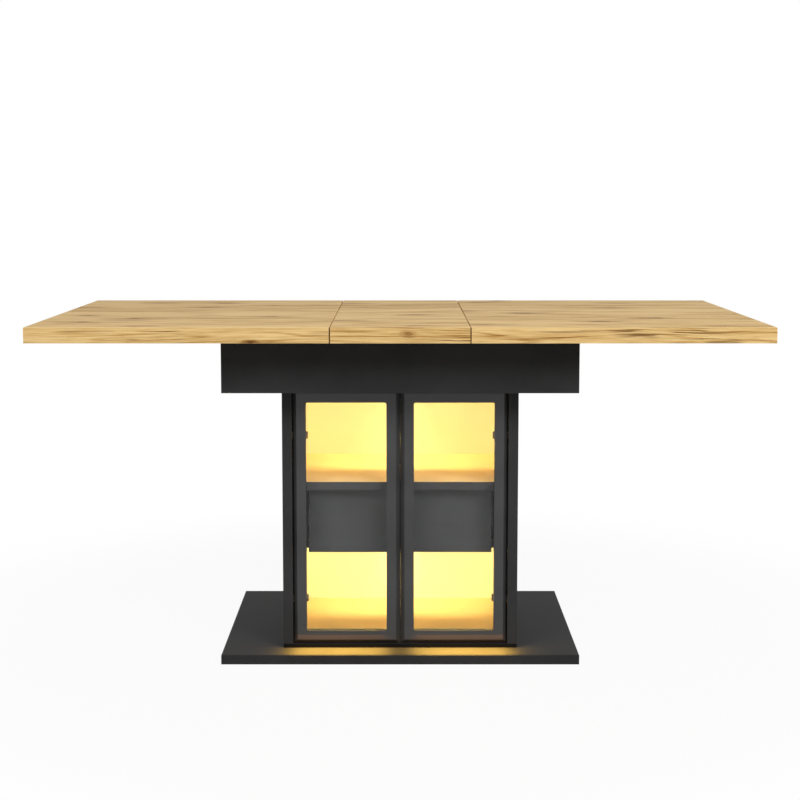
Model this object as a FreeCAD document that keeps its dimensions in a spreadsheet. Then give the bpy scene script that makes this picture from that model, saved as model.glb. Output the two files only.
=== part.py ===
import FreeCAD, Part
import os
import re
import Sketcher

# Extending kitchen table on a glazed storage cabinet, in millimetres.
# The origin is on the floor under the middle of the table: +X runs along the table,
# -Y is the side with the cabinet doors and +Z is up.

SIZES = {
    # One overrun serves every cut that has to break through a surface.
    "overrun": 1,
    # Height of the whole table: the cabinet's side panels take up what the other boards leave.
    "table_height": 775,
    # Oak top: two sliding halves and a leaf dropped in between them.
    "top_length": 1600,
    "top_depth": 800,
    "top_thick": 34,
    "top_edge_bevel": 1,
    "leaf_length": 299,
    "seam_gap": 1.5,
    # Apron box that carries the top and hides its slides.
    "apron_length": 786,
    "top_overhang": 100,
    "apron_height": 120,
    "apron_thick": 18,
    "apron_floor_thick": 15,
    "corner_block_leg": 42,
    "corner_block_height": 48,
    # Steel slides of the top: tracks in the apron, runners and battens under the halves.
    "slide_length": 738,
    "slide_drop": 6,
    "slide_height": 45,
    "slide_width": 13,
    "slide_sheet": 1.5,
    "slide_lip": 7,
    "slide_play": 0.3,
    "slide_neck": 2,
    "runner_start": 156,
    "runner_length": 192,
    "batten_thick": 22,
    # Base plate on its glides.
    "base_length": 806,
    "base_depth": 552,
    "base_thick": 22,
    "base_edge_bevel": 1.5,
    "glide_radius": 16,
    "glide_height": 2,
    "glide_inset": 46,
    # Cabinet carcass.
    "cabinet_width": 533,
    "cabinet_depth": 442,
    "side_thick": 22,
    "bottom_thick": 9,
    "panel_setback": 23,
    "top_panel_thick": 18,
    "upper_shelf_thick": 18,
    "lower_shelf_thick": 15,
    # The drawers' space keeps its height, and the two compartments share what the boards leave.
    "drawer_space": 129.5,
    "lower_space_extra": 4.75,
    "back_thick": 8,
    "back_inset": 38,
    "back_groove_depth": 8,
    "back_groove_play": 0.2,
    # Doors: one routed frame each, glass in a rebate behind beads.
    "door_thick": 18,
    "door_frame_width": 30,
    "door_bevel": 9,
    "door_side_gap": 1.5,
    "door_centre_gap": 2,
    "door_bottom_gap": 1,
    "door_top_gap": 2,
    "window_corner_radius": 4,
    "rebate_width": 5,
    "rebate_depth": 10,
    "glass_thick": 4,
    "glass_play": 1,
    # Swan-neck hinges: a fixed arm reaches round behind the stile to a pin inside it.
    "upper_hinge_drop": 108,
    "lower_hinge_rise": 100,
    "pin_inset": 10,
    "pin_setback": 7.5,
    "pin_radius": 1.5,
    "pin_play": 0.05,
    "pin_seat": 14,
    "eye_radius": 3,
    "arm_thick": 3,
    "arm_height": 16,
    "arm_return": 21.5,
    "arm_tip": 23,
    "flange_length": 46,
    "flange_thick": 3,
    "notch_play": 0.5,
    "notch_skin": 4.1,
    "notch_cover": 1.5,
    "notch_reach": 23.2,
    # Drawers behind the doors, between a divider and a packer on each side.
    "packer_thick": 31.5,
    "divider_thick": 15,
    "drawer_setback": 46,
    "drawer_front_height": 148.5,
    "drawer_front_thick": 16,
    "drawer_front_bevel": 1,
    "drawer_top_gap": 2,
    "drawer_outer_gap": 3,
    "drawer_centre_gap": 3,
    "drawer_rear_gap": 2,
    "drawer_box_length": 308,
    "drawer_box_height": 88,
    "drawer_box_lift": 10,
    "drawer_board_thick": 12,
    "drawer_bottom_thick": 6,
    "drawer_bottom_lift": 6,
    "drawer_groove_depth": 6,
    "drawer_groove_play": 0.2,
    # Steel slides of the drawers.
    "rail_length": 300,
    "rail_rise": 26,
    "rail_height": 34,
    "rail_width": 10,
    "rail_sheet": 1.2,
    "rail_lip": 6,
    "rail_play": 0.3,
    "rail_neck": 2.5,
    # Light bars under the cabinet top and under the lower shelf, with their driver and cable outlet.
    "light_length": 400,
    "light_width": 16,
    "light_height": 8,
    "light_wall": 1.5,
    "light_setback": 8,
    "diffuser_thick": 2,
    "driver_length": 150,
    "driver_width": 46,
    "driver_height": 26,
    "driver_edge_bevel": 3,
    "driver_offset": 190,
    "grommet_rise": 26,
    "grommet_bore_radius": 10,
    "grommet_sleeve_radius": 13,
    "grommet_flange_radius": 18,
    "grommet_flange_thick": 2.5,
    "grommet_play": 0.1,
    # Fasteners.
    "base_screw_radius": 2.5,
    "base_screw_head_radius": 5,
    "base_screw_head_height": 4,
    "base_screw_length": 62,
    "base_screw_pitch": 160,
    "hinge_screw_radius": 1.75,
    "hinge_screw_head_radius": 3.5,
    "hinge_screw_head_height": 2,
    "hinge_screw_length": 16,
    "hinge_screw_pitch": 22,
    "hinge_screw_inset": 10,
    "screw_play": 0.1,
    "dowel_radius": 4,
    "dowel_play": 0.05,
    "dowel_end_play": 1,
    "dowel_in_side": 12,
    "dowel_in_board": 20,
    "dowel_pitch": 220,
}

# Places worked out from the sizes above.
PLACES = {
    "side_height": "table_height - top_thick - apron_height - bottom_thick - base_thick - glide_height",
    "apron_depth": "top_depth - 2 * top_overhang",
    "shared_height": "side_height - top_panel_thick - upper_shelf_thick - lower_shelf_thick - drawer_space",
    "lower_shelf_rise": "shared_height / 2 + lower_space_extra",
    "upper_shelf_rise": "lower_shelf_rise + lower_shelf_thick + drawer_space",
    "base_top": "glide_height + base_thick",
    "cabinet_floor": "base_top + bottom_thick",
    "cabinet_top": "cabinet_floor + side_height",
    "top_under": "cabinet_top + apron_height",
    "half_start": "leaf_length / 2 + seam_gap",
    "half_length": "top_length / 2 - half_start",
    "cabinet_front": "-cabinet_depth / 2",
    "cabinet_rear": "cabinet_depth / 2",
    "side_outer": "cabinet_width / 2",
    "side_inner": "side_outer - side_thick",
    "panel_front": "cabinet_front + panel_setback",
    "back_front": "cabinet_rear - back_inset - back_thick",
    "groove_rear": "back_front + back_thick + back_groove_play",
    "panel_depth": "back_front - panel_front",
    "top_panel_under": "cabinet_top - top_panel_thick",
    "upper_shelf_under": "cabinet_floor + upper_shelf_rise",
    "lower_shelf_under": "cabinet_floor + lower_shelf_rise",
    "lower_shelf_top": "lower_shelf_under + lower_shelf_thick",
    "apron_front": "-apron_depth / 2",
    "apron_front_inner": "apron_front + apron_thick",
    "apron_end_inner": "apron_length / 2 - apron_thick",
    "apron_floor_top": "cabinet_top + apron_floor_thick",
    "slide_under": "top_under - slide_drop - slide_height",
    "batten_under": "slide_under + slide_lip",
    "door_width": "side_inner - door_side_gap - door_centre_gap / 2",
    "door_height": "side_height - door_bottom_gap - door_top_gap",
    "door_under": "cabinet_floor + door_bottom_gap",
    "door_inner": "door_centre_gap / 2",
    "door_outer": "door_inner + door_width",
    "rebate_edge": "door_frame_width - rebate_width",
    "glass_front": "cabinet_front + door_thick - rebate_depth",
    "bead_front": "glass_front + glass_thick",
    "bead_thick": "rebate_depth - glass_thick",
    "rebate_across": "door_width - 2 * rebate_edge",
    "rebate_tall": "door_height - 2 * rebate_edge",
    "pin_x": "door_outer - pin_inset",
    "pin_y": "cabinet_front + pin_setback",
    "lower_arm_under": "door_under + lower_hinge_rise - arm_height / 2",
    "upper_arm_under": "door_under + door_height - upper_hinge_drop - arm_height / 2",
    "flange_outer": "pin_inset + door_side_gap",
    "flange_inner": "flange_outer - flange_thick",
    "flange_end": "arm_return + flange_length",
    "arm_slant": "arm_thick / sqrt(2)",
    "drawer_front_y": "cabinet_front + drawer_setback",
    "drawer_face_back": "drawer_front_y + drawer_front_thick",
    "drawer_side_limit": "side_inner - packer_thick",
    "drawer_front_under": "upper_shelf_under - drawer_top_gap - drawer_front_height",
    "drawer_front_width": "drawer_side_limit - drawer_outer_gap - drawer_centre_gap / 2",
    "inner_shelf_front": "drawer_face_back + drawer_rear_gap",
    "inner_shelf_depth": "back_front - inner_shelf_front",
    "box_outer": "drawer_side_limit - rail_width - rail_neck",
    "box_inner": "divider_thick / 2 + rail_width + rail_neck",
    "box_under": "lower_shelf_top + drawer_box_lift",
    "box_bottom_under": "box_under + drawer_bottom_lift",
    "box_bottom_top": "box_bottom_under + drawer_bottom_thick",
    "box_cavity": "box_outer - box_inner - 2 * drawer_board_thick",
    "box_rear": "drawer_face_back + drawer_box_length",
    "rail_under": "box_under + rail_rise",
    "light_front": "panel_front + light_setback",
    "inner_light_front": "inner_shelf_front + light_setback",
    "grommet_height": "apron_floor_top + grommet_rise",
    "flange_screw_y": "pin_y + flange_end - hinge_screw_inset",
}

# Directions of the primitives and mirrors.
QUARTER_TURN = 90
UPWARD = FreeCAD.Rotation()
TOWARDS_X = FreeCAD.Rotation(FreeCAD.Vector(0, 1, 0), QUARTER_TURN)
TOWARDS_Y = FreeCAD.Rotation(FreeCAD.Vector(1, 0, 0), -QUARTER_TURN)
ACROSS_X = FreeCAD.Vector(1, 0, 0)
ACROSS_Y = FreeCAD.Vector(0, 1, 0)
NEAR = 1e-4

# Screws and dowels are many, so each is drawn with a few flat sides.
FASTENER_SIDES = 8

doc = FreeCAD.newDocument("KitchenTable")
nodes = []


def expand(text):
    """Turn a sum of size and place names into an expression on the two sheets."""
    def with_sheet(match):
        word = match.group(0)
        if word in SIZES:
            return "Values." + word
        if word in PLACES:
            return "Places." + word
        return word
    return re.sub(r"[a-z_]+", with_sheet, text)


def fill_sheets():
    """Write the driving sizes as plain numbers, and the worked-out places as formulas."""
    values = doc.addObject("Spreadsheet::Sheet", "Values")
    for row, (name, value) in enumerate(SIZES.items(), start=1):
        values.set(f"A{row}", name)
        values.set(f"B{row}", str(value))
        values.setAlias(f"B{row}", name)
    doc.recompute()
    places = doc.addObject("Spreadsheet::Sheet", "Places")
    for row, (name, formula) in enumerate(PLACES.items(), start=1):
        places.set(f"A{row}", name)
        places.setAlias(f"B{row}", name)
        places.set(f"B{row}", "=" + expand(formula))
    doc.recompute()


fill_sheets()
workings = doc.addObject("Spreadsheet::Sheet", "Workings")


def number(text):
    """The present value of an expression, worked out in a spare cell."""
    workings.set("A1", "=" + expand(text))
    workings.recompute()
    return float(workings.get("A1"))


def keep(piece, name):
    """Name a finished piece and list it for writing out."""
    piece.Label = name
    nodes.append(piece)
    return piece


def place(piece, corner):
    for axis, text in zip("xyz", corner):
        piece.setExpression("Placement.Base." + axis, expand(text))
    return piece


def box(name, size, corner):
    piece = doc.addObject("Part::Box", name)
    for side, text in zip(("Length", "Width", "Height"), size):
        piece.setExpression(side, expand(text))
    return place(piece, corner)


def cylinder(name, radius, length, start, turn=UPWARD):
    piece = doc.addObject("Part::Cylinder", name)
    piece.Placement = FreeCAD.Placement(FreeCAD.Vector(), turn)
    piece.setExpression("Radius", expand(radius))
    piece.setExpression("Height", expand(length))
    return place(piece, start)


def prism(name, radius, length, start, turn=UPWARD):
    piece = doc.addObject("Part::Prism", name)
    piece.Polygon = FASTENER_SIDES
    piece.Placement = FreeCAD.Placement(FreeCAD.Vector(), turn)
    piece.setExpression("Circumradius", expand(radius))
    piece.setExpression("Height", expand(length))
    return place(piece, start)


def group(name, pieces):
    piece = doc.addObject("Part::Compound", name)
    piece.Links = pieces
    return piece


def mirror(name, source, normal):
    piece = doc.addObject("Part::Mirroring", name)
    piece.Source = source
    piece.Normal = normal
    return piece


def cut(name, base, tool):
    piece = doc.addObject("Part::Cut", name)
    piece.Base = base
    piece.Tool = tool
    return piece


def both_ends(name, source):
    """A piece and its twin on the other side of the long middle line."""
    return group(name, [source, mirror(name + "_rear", source, ACROSS_Y)])


def keep_pair(source, name):
    """Keep a right-hand piece and its left-hand mirror image."""
    keep(source, "right_" + name)
    keep(mirror("left_" + name, source, ACROSS_X), "left_" + name)


def new_body(name, corner=("0", "0", "0")):
    return place(doc.addObject("PartDesign::Body", name), corner)


def new_sketch(body, name, role, height="0"):
    """A sketch on one of the body's own planes, raised by a height."""
    sketch = body.newObject("Sketcher::SketchObject", name)
    plane = next(part for part in body.Origin.OriginFeatures if part.Role == role)
    sketch.AttachmentSupport = (plane, [""])
    sketch.MapMode = "FlatFace"
    sketch.setExpression("AttachmentOffset.Base.z", expand(height))
    return sketch


def pin_down(sketch, kind, geometry, point, text):
    """Tie one coordinate of a sketch point to an expression."""
    index = sketch.addConstraint(Sketcher.Constraint(kind, geometry, point, number(text)))
    label = f"{kind}_{geometry}_{point}"
    sketch.renameConstraint(index, label)
    sketch.setExpression("Constraints." + label, expand(text))


def polygon(sketch, corners):
    """A closed outline through corners given as pairs of expressions."""
    first = sketch.GeometryCount
    count = len(corners)
    spots = [FreeCAD.Vector(number(across), number(up), 0) for across, up in corners]
    for index in range(count):
        sketch.addGeometry(Part.LineSegment(spots[index], spots[(index + 1) % count]))
    for index in range(count):
        following = first + (index + 1) % count
        sketch.addConstraint(Sketcher.Constraint("Coincident", first + index, 2, following, 1))
    for index, (across, up) in enumerate(corners):
        pin_down(sketch, "DistanceX", first + index, 1, across)
        pin_down(sketch, "DistanceY", first + index, 1, up)


def rectangle(sketch, low, high):
    polygon(sketch, [low, (high[0], low[1]), high, (low[0], high[1])])


def circle(sketch, centre, radius):
    index = sketch.GeometryCount
    middle = FreeCAD.Vector(number(centre[0]), number(centre[1]), 0)
    sketch.addGeometry(Part.Circle(middle, FreeCAD.Vector(0, 0, 1), number(radius)))
    pin_down(sketch, "DistanceX", index, 3, centre[0])
    pin_down(sketch, "DistanceY", index, 3, centre[1])
    ring = sketch.addConstraint(Sketcher.Constraint("Radius", index, number(radius)))
    sketch.renameConstraint(ring, f"Radius_{index}")
    sketch.setExpression(f"Constraints.Radius_{index}", expand(radius))


def pad(body, sketch, length):
    feature = body.newObject("PartDesign::Pad", sketch.Name + "_pad")
    feature.Profile = sketch
    feature.setExpression("Length", expand(length))
    doc.recompute()
    return feature


def pocket(body, sketch, length):
    """Cut along the way the sketch faces, and check that it took something away."""
    before = body.Shape.Volume
    feature = body.newObject("PartDesign::Pocket", sketch.Name + "_pocket")
    feature.Profile = sketch
    feature.Reversed = True
    feature.setExpression("Length", expand(length))
    doc.recompute()
    if body.Shape.Volume > before - NEAR:
        raise RuntimeError(sketch.Name + " cut nothing away")
    return feature


def edges_of(feature, wanted):
    """Names of the edges whose every vertex passes the test."""
    found = []
    for index, edge in enumerate(feature.Shape.Edges, start=1):
        if all(wanted(vertex.Point) for vertex in edge.Vertexes):
            found.append(f"Edge{index}")
    return found


def bevel(body, feature, wanted, size):
    chamfer = body.newObject("PartDesign::Chamfer", feature.Name + "_bevel")
    chamfer.Base = (feature, edges_of(feature, wanted))
    chamfer.setExpression("Size", expand(size))
    doc.recompute()
    return chamfer


def bevelled_board(name, size, corner, bevel_size):
    """A board whose upper edges are broken by a small bevel."""
    length, depth, thick = size
    body = new_body(name, corner)
    outline = new_sketch(body, name + "_outline", "XY_Plane")
    rectangle(outline, ("0", "0"), (length, depth))
    slab = pad(body, outline, thick)
    upper = number(thick)
    bevel(body, slab, lambda point: abs(point.z - upper) < NEAR, bevel_size)
    return body


def screw(name, kind, start, turn, play="0"):
    """A flat-headed screw that points along its own axis from the head, or its bore with play."""
    origin = ("0", "0", "0")
    head = prism(name + "_head", f"{kind}_head_radius + {play}", f"{kind}_head_height", origin)
    shank = prism(name + "_shank", f"{kind}_radius + {play}", f"{kind}_length + {play}", origin)
    piece = doc.addObject("Part::MultiFuse", name)
    piece.Shapes = [head, shank]
    piece.Placement = FreeCAD.Placement(FreeCAD.Vector(), turn)
    return place(piece, start)


def track_outline(kind, side=""):
    """Lipped C-section with its web on the line across = 0 and its mouth towards +across."""
    low, wall, lip = "0", f"{kind}_sheet", f"{kind}_lip"
    deep, inside = f"{kind}_width", f"{kind}_width - {kind}_sheet"
    tall, ceiling = f"{kind}_height", f"{kind}_height - {kind}_sheet"
    upper_lip = f"{kind}_height - {kind}_lip"
    corners = [
        (low, low), (deep, low), (deep, lip), (inside, lip), (inside, wall), (wall, wall),
        (wall, ceiling), (inside, ceiling), (inside, upper_lip), (deep, upper_lip), (deep, tall), (low, tall),
    ]
    return [(f"{side}({across})", up) for across, up in corners]


def runner_outline(kind, side=""):
    """T-section that runs in the track, with its neck out through the mouth."""
    near_web = f"{kind}_sheet + {kind}_play"
    near_lip = f"{kind}_width - {kind}_sheet - {kind}_play"
    out = f"{kind}_width + {kind}_neck"
    low, high = f"{kind}_sheet + {kind}_play", f"{kind}_height - {kind}_sheet - {kind}_play"
    neck_low, neck_high = f"{kind}_lip + {kind}_play", f"{kind}_height - {kind}_lip - {kind}_play"
    corners = [
        (near_web, low), (near_lip, low), (near_lip, neck_low), (out, neck_low),
        (out, neck_high), (near_lip, neck_high), (near_lip, high), (near_web, high),
    ]
    return [(f"{side}({across})", up) for across, up in corners]


def bar(name, role, corners, length, corner):
    """A straight bar of one section."""
    body = new_body(name, corner)
    section = new_sketch(body, name + "_section", role)
    polygon(section, corners)
    pad(body, section, length)
    return body


def make_fasteners():
    """Screws and dowels with their bores, which the boards are drilled with later."""
    screws, base_bores = [], []
    for step in (-1, 0, 1):
        spot = ("side_outer - side_thick / 2", f"{step} * base_screw_pitch", "glide_height")
        tag = f"base_screw_{step + 1}"
        screws.append(screw(tag, "base_screw", spot, UPWARD))
        base_bores.append(screw(tag + "_bore", "base_screw", spot, UPWARD, "screw_play"))
    right_screws = group("right_base_screws", screws)
    keep(group("base_screws", [right_screws, mirror("left_base_screws", right_screws, ACROSS_X)]), "base_screws")

    hinge_screws, hinge_bores = [], []
    for level in ("lower", "upper"):
        for step in (0, 1):
            spot = (
                "side_inner - flange_thick",
                f"flange_screw_y - {step} * hinge_screw_pitch",
                f"{level}_arm_under + arm_height / 2",
            )
            tag = f"{level}_hinge_screw_{step}"
            hinge_screws.append(screw(tag, "hinge_screw", spot, TOWARDS_X))
            hinge_bores.append(screw(tag + "_bore", "hinge_screw", spot, TOWARDS_X, "screw_play"))
    keep_pair(group("hinge_screws", hinge_screws), "hinge_screws")

    dowels, dowel_bores = [], []
    boards = {
        "top_panel": ("top_panel_under + top_panel_thick / 2", "panel_front + panel_depth / 2"),
        "upper_shelf": ("upper_shelf_under + upper_shelf_thick / 2", "panel_front + panel_depth / 2"),
        "lower_shelf": ("lower_shelf_under + lower_shelf_thick / 2", "panel_front + panel_depth / 2"),
    }
    for board, (height, middle) in boards.items():
        for step in (-1, 1):
            across = f"{middle} + {step} * dowel_pitch / 2"
            tag = f"{board}_dowel_{step + 1}"
            dowels.append(prism(
                tag, "dowel_radius", "dowel_in_side + dowel_in_board",
                ("side_inner - dowel_in_board", across, height), TOWARDS_X))
            dowel_bores.append(prism(
                tag + "_bore", "dowel_radius + dowel_play", "dowel_in_side + dowel_in_board + 2 * dowel_end_play",
                ("side_inner - dowel_in_board - dowel_end_play", across, height), TOWARDS_X))
    right_dowels = group("right_dowels", dowels)
    keep(group("panel_dowels", [right_dowels, mirror("left_dowels", right_dowels, ACROSS_X)]), "panel_dowels")

    def twin(name, bores):
        right = group("right_" + name, bores)
        return group(name, [right, mirror("left_" + name, right, ACROSS_X)])
    return twin("base_bores", base_bores), group("hinge_bores", hinge_bores), twin("dowel_bores", dowel_bores)


def make_base(base_bores):
    """Floor glides, base plate and the cabinet's bottom panel."""
    glides = []
    for column in (-1, 0, 1):
        for row in (-1, 1):
            spot = (f"{column} * (base_length / 2 - glide_inset)", f"{row} * (base_depth / 2 - glide_inset)", "0")
            glides.append(cylinder(f"glide_{column + 1}_{row + 1}", "glide_radius", "glide_height", spot))
    keep(group("glide_pads", glides), "glide_pads")
    plate = bevelled_board(
        "plate", ("base_length", "base_depth", "base_thick"),
        ("-base_length / 2", "-base_depth / 2", "glide_height"), "base_edge_bevel")
    keep(cut("base_plate", plate, base_bores), "base_plate")
    bottom = box(
        "bottom_blank", ("cabinet_width", "cabinet_depth", "bottom_thick"),
        ("-side_outer", "cabinet_front", "base_top"))
    keep(cut("bottom_panel", bottom, base_bores), "bottom_panel")


def make_carcass(base_bores, hinge_bores, dowel_bores):
    """Side panels grooved for the back, with the top panel and shelves dowelled between them."""
    side = new_body("side_blank", ("0", "0", "cabinet_floor"))
    plan = new_sketch(side, "side_plan", "XY_Plane")
    groove_foot = "side_inner + back_groove_depth"
    polygon(plan, [
        ("side_inner", "cabinet_front"), ("side_outer", "cabinet_front"), ("side_outer", "cabinet_rear"),
        ("side_inner", "cabinet_rear"), ("side_inner", "groove_rear"), (groove_foot, "groove_rear"),
        (groove_foot, "back_front"), ("side_inner", "back_front"),
    ])
    pad(side, plan, "side_height")
    side_bores = group("side_bores", [base_bores, hinge_bores, dowel_bores])
    keep_pair(cut("side_panel", side, side_bores), "side_panel")

    boards = {
        "top_panel": ("panel_front", "panel_depth", "top_panel_under", "top_panel_thick"),
        "upper_shelf": ("panel_front", "panel_depth", "upper_shelf_under", "upper_shelf_thick"),
        "lower_shelf": ("inner_shelf_front", "inner_shelf_depth", "lower_shelf_under", "lower_shelf_thick"),
    }
    for name, (front, depth, under, thick) in boards.items():
        blank = box(name + "_blank", ("2 * side_inner", depth, thick), ("-side_inner", front, under))
        keep(cut(name, blank, dowel_bores), name)

    back_reach = "side_inner + back_groove_depth - back_groove_play"
    keep(box(
        "back_panel", (f"2 * ({back_reach})", "back_thick", "side_height"),
        (f"-({back_reach})", "back_front", "cabinet_floor")), "back_panel")
    keep(box(
        "drawer_divider", ("divider_thick", "inner_shelf_depth", "drawer_space"),
        ("-divider_thick / 2", "inner_shelf_front", "lower_shelf_top")), "drawer_divider")
    keep_pair(box(
        "drawer_packer", ("packer_thick", "inner_shelf_depth", "drawer_space"),
        ("drawer_side_limit", "inner_shelf_front", "lower_shelf_top")), "drawer_packer")


def make_apron():
    """The four apron boards, their floor and the glued blocks in the corners."""
    front = box(
        "apron_board", ("apron_length", "apron_thick", "apron_height"),
        ("-apron_length / 2", "apron_front", "cabinet_top"))
    keep(front, "front_apron")
    outlet = cylinder(
        "outlet", "grommet_sleeve_radius + grommet_play", "apron_thick + 2 * overrun",
        ("0", "-apron_front_inner - overrun", "grommet_height"), TOWARDS_Y)
    keep(cut("rear_apron", mirror("rear_apron_blank", front, ACROSS_Y), outlet), "rear_apron")
    keep_pair(box(
        "apron_end", ("apron_thick", "-2 * apron_front_inner", "apron_height"),
        ("apron_end_inner", "apron_front_inner", "cabinet_top")), "apron")

    keep(box(
        "apron_floor", ("2 * apron_end_inner", "-2 * apron_front_inner", "apron_floor_thick"),
        ("-apron_end_inner", "apron_front_inner", "cabinet_top")), "apron_floor")

    block = new_body("corner_block", ("apron_end_inner", "apron_front_inner", "apron_floor_top"))
    plan = new_sketch(block, "corner_block_plan", "XY_Plane")
    polygon(plan, [("0", "0"), ("0", "corner_block_leg"), ("-corner_block_leg", "0")])
    pad(block, plan, "corner_block_height")
    right = both_ends("right_corner_blocks", block)
    keep(group("apron_corner_blocks", [right, mirror("left_corner_blocks", right, ACROSS_X)]), "apron_corner_blocks")


def make_top():
    """The halves on their slides, and the leaf that rests on the apron between them."""
    half = bevelled_board(
        "half", ("half_length", "top_depth", "top_thick"), ("half_start", "-top_depth / 2", "top_under"),
        "top_edge_bevel")
    keep_pair(half, "top_half")
    keep(bevelled_board(
        "leaf", ("leaf_length", "top_depth", "top_thick"), ("-leaf_length / 2", "-top_depth / 2", "top_under"),
        "top_edge_bevel"), "top_leaf")

    track = bar(
        "slide_track", "YZ_Plane", track_outline("slide"), "slide_length",
        ("-slide_length / 2", "apron_front_inner", "slide_under"))
    keep(track, "front_slide_track")
    keep(mirror("rear_slide_track", track, ACROSS_Y), "rear_slide_track")
    runner = bar(
        "slide_runner", "YZ_Plane", runner_outline("slide"), "runner_length",
        ("runner_start", "apron_front_inner", "slide_under"))
    keep_pair(both_ends("slide_runners", runner), "slide_runners")
    batten = box(
        "batten", ("runner_length", "batten_thick", "top_under - batten_under"),
        ("runner_start", "apron_front_inner + slide_width + slide_neck", "batten_under"))
    keep_pair(both_ends("battens", batten), "battens")


def make_doors():
    """Bevelled door frame with its hinge notches, the glass, its beads and the hinge pins."""
    frame = new_body("door", ("door_inner", "cabinet_front + door_thick", "door_under"))
    outline = new_sketch(frame, "door_outline", "XZ_Plane")
    rectangle(outline, ("0", "0"), ("door_width", "door_height"))
    slab = pad(frame, outline, "door_thick")
    front = -number("door_thick")
    bevel(frame, slab, lambda point: abs(point.y - front) < NEAR, "door_bevel")

    window = new_sketch(frame, "door_window", "XZ_Plane")
    far_side, far_top = "door_width - door_frame_width", "door_height - door_frame_width"
    rectangle(window, ("door_frame_width", "door_frame_width"), (far_side, far_top))
    opening = pocket(frame, window, "door_thick + overrun")
    sides = [number("door_frame_width"), number(far_side)]
    levels = [number("door_frame_width"), number(far_top)]
    corners = edges_of(opening, lambda point: (
        min(abs(point.x - side) for side in sides) < NEAR
        and min(abs(point.z - level) for level in levels) < NEAR))
    along_y = [name for name in corners if abs(opening.getSubObject(name).tangentAt(0).y) > 1 - NEAR]
    rounding = frame.newObject("PartDesign::Fillet", "door_window_rounding")
    rounding.Base = (opening, along_y)
    rounding.setExpression("Radius", expand("window_corner_radius"))
    doc.recompute()

    rebate = new_sketch(frame, "door_rebate", "XZ_Plane")
    rectangle(
        rebate, ("rebate_edge", "rebate_edge"), ("door_width - rebate_edge", "door_height - rebate_edge"))
    pocket(frame, rebate, "rebate_depth")

    pins = []
    for level in ("lower", "upper"):
        under = f"{level}_arm_under - notch_play"
        notch = new_sketch(frame, f"{level}_notch", "XY_Plane", f"{under} - door_under")
        clear_edge = "door_width + overrun"
        shoulder = "door_bevel + notch_cover"
        polygon(notch, [
            (clear_edge, "overrun"),
            (clear_edge, f"{shoulder} + overrun - door_thick"),
            (f"door_width - ({shoulder} - notch_skin)", "notch_skin - door_thick"),
            ("door_width - notch_reach", "notch_skin - door_thick"),
            ("door_width - notch_reach", "overrun"),
        ])
        pocket(frame, notch, "arm_height + 2 * notch_play")
        pin_length = "arm_height + 2 * notch_play + 2 * pin_seat"
        seat = new_sketch(frame, f"{level}_pin_seat", "XY_Plane", f"{under} - pin_seat - door_under")
        circle(seat, ("door_width - pin_inset", "pin_setback - door_thick"), "pin_radius + pin_play")
        pocket(frame, seat, pin_length)
        pins.append(cylinder(f"{level}_pin", "pin_radius", pin_length, ("pin_x", "pin_y", f"{under} - pin_seat")))
    keep_pair(frame, "door_frame")
    keep_pair(group("hinge_pins", pins), "hinge_pins")

    keep_pair(box(
        "glass", ("rebate_across - 2 * glass_play", "glass_thick", "rebate_tall - 2 * glass_play"),
        ("door_inner + rebate_edge + glass_play", "glass_front", "door_under + rebate_edge + glass_play")),
        "door_glass")
    beads = []
    for tag, shift in (("inner", "0"), ("outer", "rebate_across - rebate_width")):
        beads.append(box(
            f"{tag}_bead", ("rebate_width", "bead_thick", "rebate_tall"),
            (f"door_inner + rebate_edge + {shift}", "bead_front", "door_under + rebate_edge")))
    for tag, shift in (("lower", "0"), ("upper", "rebate_tall - rebate_width")):
        beads.append(box(
            f"{tag}_bead", ("rebate_across - 2 * rebate_width", "bead_thick", "rebate_width"),
            ("door_inner + door_frame_width", "bead_front", f"door_under + rebate_edge + {shift}")))
    keep_pair(group("glazing_beads", beads), "glazing_beads")


def make_hinge_arms(hinge_bores):
    """Swan-neck arms: an eye round the pin, a neck behind the stile and a flange on the side panel."""
    arms = []
    for level in ("lower", "upper"):
        arm = new_body(f"{level}_arm", ("pin_x", "pin_y", f"{level}_arm_under"))
        plan = new_sketch(arm, f"{level}_arm_plan", "XY_Plane")
        polygon(plan, [
            ("arm_slant / 2", "arm_slant / 2"),
            ("arm_slant - arm_return", "arm_return"),
            ("flange_outer", "arm_return"),
            ("flange_outer", "flange_end"),
            ("flange_inner", "flange_end"),
            ("flange_inner", "arm_return + arm_thick"),
            ("-arm_tip", "arm_return + arm_thick"),
            ("-arm_tip", "arm_tip - arm_slant"),
            ("-arm_slant / 2", "-arm_slant / 2"),
        ])
        pad(arm, plan, "arm_height")
        eye = new_sketch(arm, f"{level}_eye", "XY_Plane")
        circle(eye, ("0", "0"), "eye_radius")
        pad(arm, eye, "arm_height")
        bore = new_sketch(arm, f"{level}_eye_bore", "XY_Plane")
        circle(bore, ("0", "0"), "pin_radius + pin_play")
        pocket(arm, bore, "arm_height")
        arms.append(arm)
    keep_pair(cut("hinge_arms", group("hinge_arm_blanks", arms), hinge_bores), "hinge_arms")


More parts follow.
